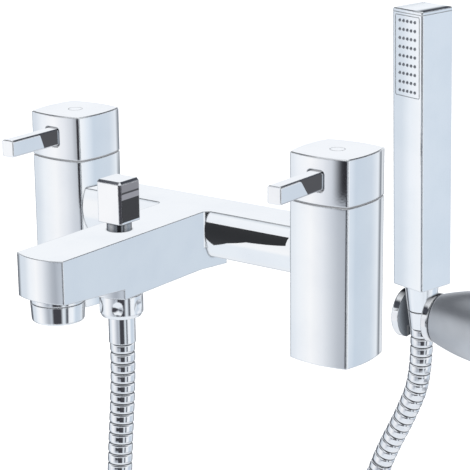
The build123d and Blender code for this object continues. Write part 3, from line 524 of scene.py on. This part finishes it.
paints = {name: makeChrome(name, look) for name, look in chromeLooks.items()}
paints.update({name: makeTurned(name, look) for name, look in turnedLooks.items()})
paints.update({name: makeMoulded(name, look) for name, look in softLooks.items()})
paints["hose_chrome"] = makeHoseChrome("hoseRibs")
smoothHose = makeChrome("hose_chrome_fittings", chromeLooks["handle_chrome"])
print("materials made:", len(paints) + 1)


# pieces that stand apart from the rest of their finish; the bonnet's look is a darker copy of the chrome,
# painted shade from the knob and spout
ownLooks = {"bracket_base": "bracketBell", "diverter_bonnet": "bonnetPaintedShade"}


def paintNodes():
    for part in frame["record"]["subparts"]:
        piece = nodes[part["node"]]
        name = part["material_slot"]
        material = smoothHose if name == "hose_chrome" else paints[name]
        material = paints.get(ownLooks.get(part["node"]), material)
        if not piece.material_slots:
            piece.data.materials.append(material)
        for place in piece.material_slots:
            place.material = material


paintNodes()

# the photograph's reflections are plain: no piece shows in another, and the cards give what does
for piece in nodes.values():
    piece.visible_glossy = False
print("pieces painted")


# shower hose: 1.5 m, with what the photograph doesn't show rolled in a tied coil below the view
hose = {
    "crest": 0.0067,         # radius over a rib, and in a groove
    "valley": 0.0058,
    "pitch": 0.00565,
    "sides": 24,
    "steps": 8,              # rings in one rib
    "length": 1.5,
    "turns": 2.5,
    "coilRadius": 0.0699,
    "turnPoints": 16,
    "coilCentre": (0.0227, 0.0132, -0.195),
    "coilHeading": 86.8,
    "coilStep": 0.01435,     # across, from one turn to the next
    "lean": 1.9,
}
tiltCentre = Vector((0.082, 0.1033, -0.008))
nutLow = -0.0155
nutY = tiltCentre[1] + (tiltCentre[2] - nutLow) * math.sin(math.radians(hose["lean"]))
outletY = -0.0696
outletRoute = [
    (0.0, outletY, 0.0093),
    (0.0, outletY, -0.006),
    (0.0, outletY - 0.0016, -0.026),
    (0.0, outletY - 0.004, -0.048),
    (0.0, outletY - 0.0056, -0.068),
    (0.0, outletY - 0.0061, -0.084),
]
leadIn = [(0.0002, -0.0752, -0.108), (0.0006, -0.0700, -0.133), (0.0009, -0.0612, -0.160)]
leadOut = [(0.0449, 0.0838, -0.166), (0.0478, 0.0930, -0.141)]
handsetRoute = [
    (tiltCentre[0], nutY, nutLow),
    (tiltCentre[0] + 0.0003, nutY + 0.001, -0.0455),
    (0.0718, nutY + 0.001, -0.073),
    (0.0599, nutY + 0.0008, -0.097),
    (0.0523, nutY + 0.0004, -0.117),
]
# the two pieces meet in the middle of the run that crosses below the bracket
meeting = (Vector(handsetRoute[3]) + Vector(handsetRoute[4])) / 2


def coilPoints():
    centre = Vector(hose["coilCentre"])
    angle = math.radians(hose["coilHeading"])
    along = Vector((math.cos(angle), math.sin(angle), 0))
    across = Vector((math.sin(angle), -math.cos(angle), 0))
    # a spline's line lies this much inside its points
    reach = hose["coilRadius"] / math.cos(math.pi / hose["turnPoints"]) ** 2
    count = int(hose["turns"] * hose["turnPoints"])
    points = []
    for index in range(count + 1):
        turn = 2 * math.pi * index / hose["turnPoints"]
        side = (index / count - 0.5) * hose["turns"] * hose["coilStep"]
        place = centre - along * (reach * math.cos(turn)) + across * side
        place.z -= reach * math.sin(turn)
        points.append(place)
    return points


def splineCurve(name, points):
    data = bpy.data.curves.new(name, "CURVE")
    data.dimensions = "3D"
    data.resolution_u = 12
    spline = data.splines.new("NURBS")
    spline.points.add(len(points) - 1)
    for place, point in zip(spline.points, points):
        place.co = (*point, 1)
    spline.order_u = 3
    spline.use_endpoint_u = True
    curve = bpy.data.objects.new(name, data)
    bpy.context.scene.collection.objects.link(curve)
    return curve


class Wires:
    # builds a Geometry Nodes tree with named inputs
    def __init__(self, name, inputs):
        self.tree = bpy.data.node_groups.new(name, "GeometryNodeTree")
        self.tree.interface.new_socket("Geometry", in_out="INPUT", socket_type="NodeSocketGeometry")
        for label, kind in inputs:
            self.tree.interface.new_socket(label, in_out="INPUT", socket_type=kind)
        self.tree.interface.new_socket("Geometry", in_out="OUTPUT", socket_type="NodeSocketGeometry")
        self.start = self.tree.nodes.new("NodeGroupInput")
        self.end = self.tree.nodes.new("NodeGroupOutput")

    def add(self, kind, settings=None, values=None):
        node = self.tree.nodes.new(kind)
        for name, setting in (settings or {}).items():
            setattr(node, name, setting)
        for name, value in (values or {}).items():
            socket = node.inputs[name]
            if isinstance(value, bpy.types.NodeSocket):
                self.tree.links.new(value, socket)
            else:
                socket.default_value = value
        return node

    def math(self, operation, first, second=0.0, third=0.0):
        node = self.add("ShaderNodeMath", {"operation": operation}, {0: first, 1: second, 2: third})
        return node.outputs[0]


def ribTree():
    wires = Wires("hoseRibs", [
        ("Pitch", "NodeSocketFloat"), ("Crest", "NodeSocketFloat"), ("Valley", "NodeSocketFloat"),
        ("Steps", "NodeSocketInt"), ("Sides", "NodeSocketInt"), ("Finish", "NodeSocketMaterial"),
    ])
    given = wires.start.outputs
    spacing = wires.math("DIVIDE", given["Pitch"], given["Steps"])
    even = wires.add(
        "GeometryNodeResampleCurve", {"mode": "LENGTH"}, {"Curve": given["Geometry"], "Length": spacing}
    )
    index = wires.add("GeometryNodeInputIndex").outputs[0]
    share = wires.math("FRACT", wires.math("DIVIDE", index, given["Steps"]))
    swing = wires.math("ABSOLUTE", wires.math("MULTIPLY_ADD", share, 2.0, -1.0))
    rib = wires.math("SUBTRACT", 1.0, wires.math("POWER", swing, 6.0))
    rise = wires.math("SUBTRACT", given["Crest"], given["Valley"])
    radius = wires.math("MULTIPLY_ADD", rib, rise, given["Valley"])
    marked = wires.add(
        "GeometryNodeStoreNamedAttribute", {"data_type": "FLOAT", "domain": "POINT"},
        {"Geometry": even.outputs[0], "Name": "rib", "Value": rib},
    )
    circle = wires.add(
        "GeometryNodeCurvePrimitiveCircle", None, {"Resolution": given["Sides"], "Radius": 1.0}
    )
    tube = wires.add(
        "GeometryNodeCurveToMesh", None,
        {"Curve": marked.outputs[0], "Profile Curve": circle.outputs[0], "Scale": radius, "Fill Caps": True},
    )
    smooth = wires.add("GeometryNodeSetShadeSmooth", None, {"Geometry": tube.outputs[0]})
    whole = wires.add("GeometryNodeRealizeInstances", None, {"Geometry": smooth.outputs[0]})
    painted = wires.add(
        "GeometryNodeSetMaterial", None, {"Geometry": whole.outputs[0], "Material": given["Finish"]}
    )
    wires.tree.links.new(painted.outputs[0], wires.end.inputs[0])
    return wires.tree


def ribbedPiece(name, curve, tree):
    graph = bpy.context.evaluated_depsgraph_get()
    line = bpy.data.meshes.new_from_object(curve.evaluated_get(graph))
    path = [vertex.co.copy() for vertex in line.vertices]
    changer = curve.modifiers.new("ribs", "NODES")
    changer.node_group = tree
    sizes = {
        "Pitch": hose["pitch"], "Crest": hose["crest"], "Valley": hose["valley"],
        "Steps": hose["steps"], "Sides": hose["sides"], "Finish": paints["hose_chrome"],
    }
    for socket in tree.interface.items_tree:
        if socket.in_out == "INPUT" and socket.name in sizes:
            changer[socket.identifier] = sizes[socket.name]
    curve.update_tag()
    graph = bpy.context.evaluated_depsgraph_get()
    mesh = bpy.data.meshes.new_from_object(curve.evaluated_get(graph))
    bpy.data.objects.remove(curve)
    mesh.name = name
    piece = bpy.data.objects.new(name, mesh)
    bpy.context.scene.collection.objects.link(piece)
    piece.visible_glossy = False
    return piece, path


def pathLength(path):
    return sum((after - before).length for before, after in zip(path, path[1:]))


def makeHose():
    tree = ribTree()
    lowerPoints = outletRoute + leadIn + coilPoints() + leadOut
    lowerPoints += [handsetRoute[4], tuple(meeting)]
    upperPoints = [tuple(meeting), *handsetRoute[3::-1]]
    lower, lowerPath = ribbedPiece("hose_lower", splineCurve("lowerLine", lowerPoints), tree)
    upper, upperPath = ribbedPiece("hose_upper", splineCurve("upperLine", upperPoints), tree)
    lowerLength, upperLength = pathLength(lowerPath), pathLength(upperPath)
    print("hose lengths", round(lowerLength, 4), round(upperLength, 4), len(lower.data.polygons))
    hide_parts("hose_outlet_stretch", "hose_coil")
    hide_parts("hose_handset_stretch")
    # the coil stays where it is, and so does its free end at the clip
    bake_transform(lower)
    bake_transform(upper)


makeHose()
print("hose made")


# return spring of the diverter, which shortens towards the bonnet as the knob is pulled; here a copy of it
# is fixed to the mixer body
spring = {"node": "diverter_spring", "low": 0.0557, "high": 0.07395, "travel": 0.0062}


def makeSpring():
    mesh = nodes[spring["node"]].data.copy()
    mesh.name = "spring_coil"
    shape = bmesh.new()
    shape.from_mesh(mesh)
    bmesh.ops.remove_doubles(shape, verts=shape.verts, dist=1e-6)
    shape.to_mesh(mesh)
    shape.free()
    piece = bpy.data.objects.new("spring_coil", mesh)
    bpy.context.scene.collection.objects.link(piece)
    piece.visible_glossy = False
    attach(piece, "mixer_body")
    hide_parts(spring["node"])
    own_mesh(piece)


makeSpring()
print("spring made")
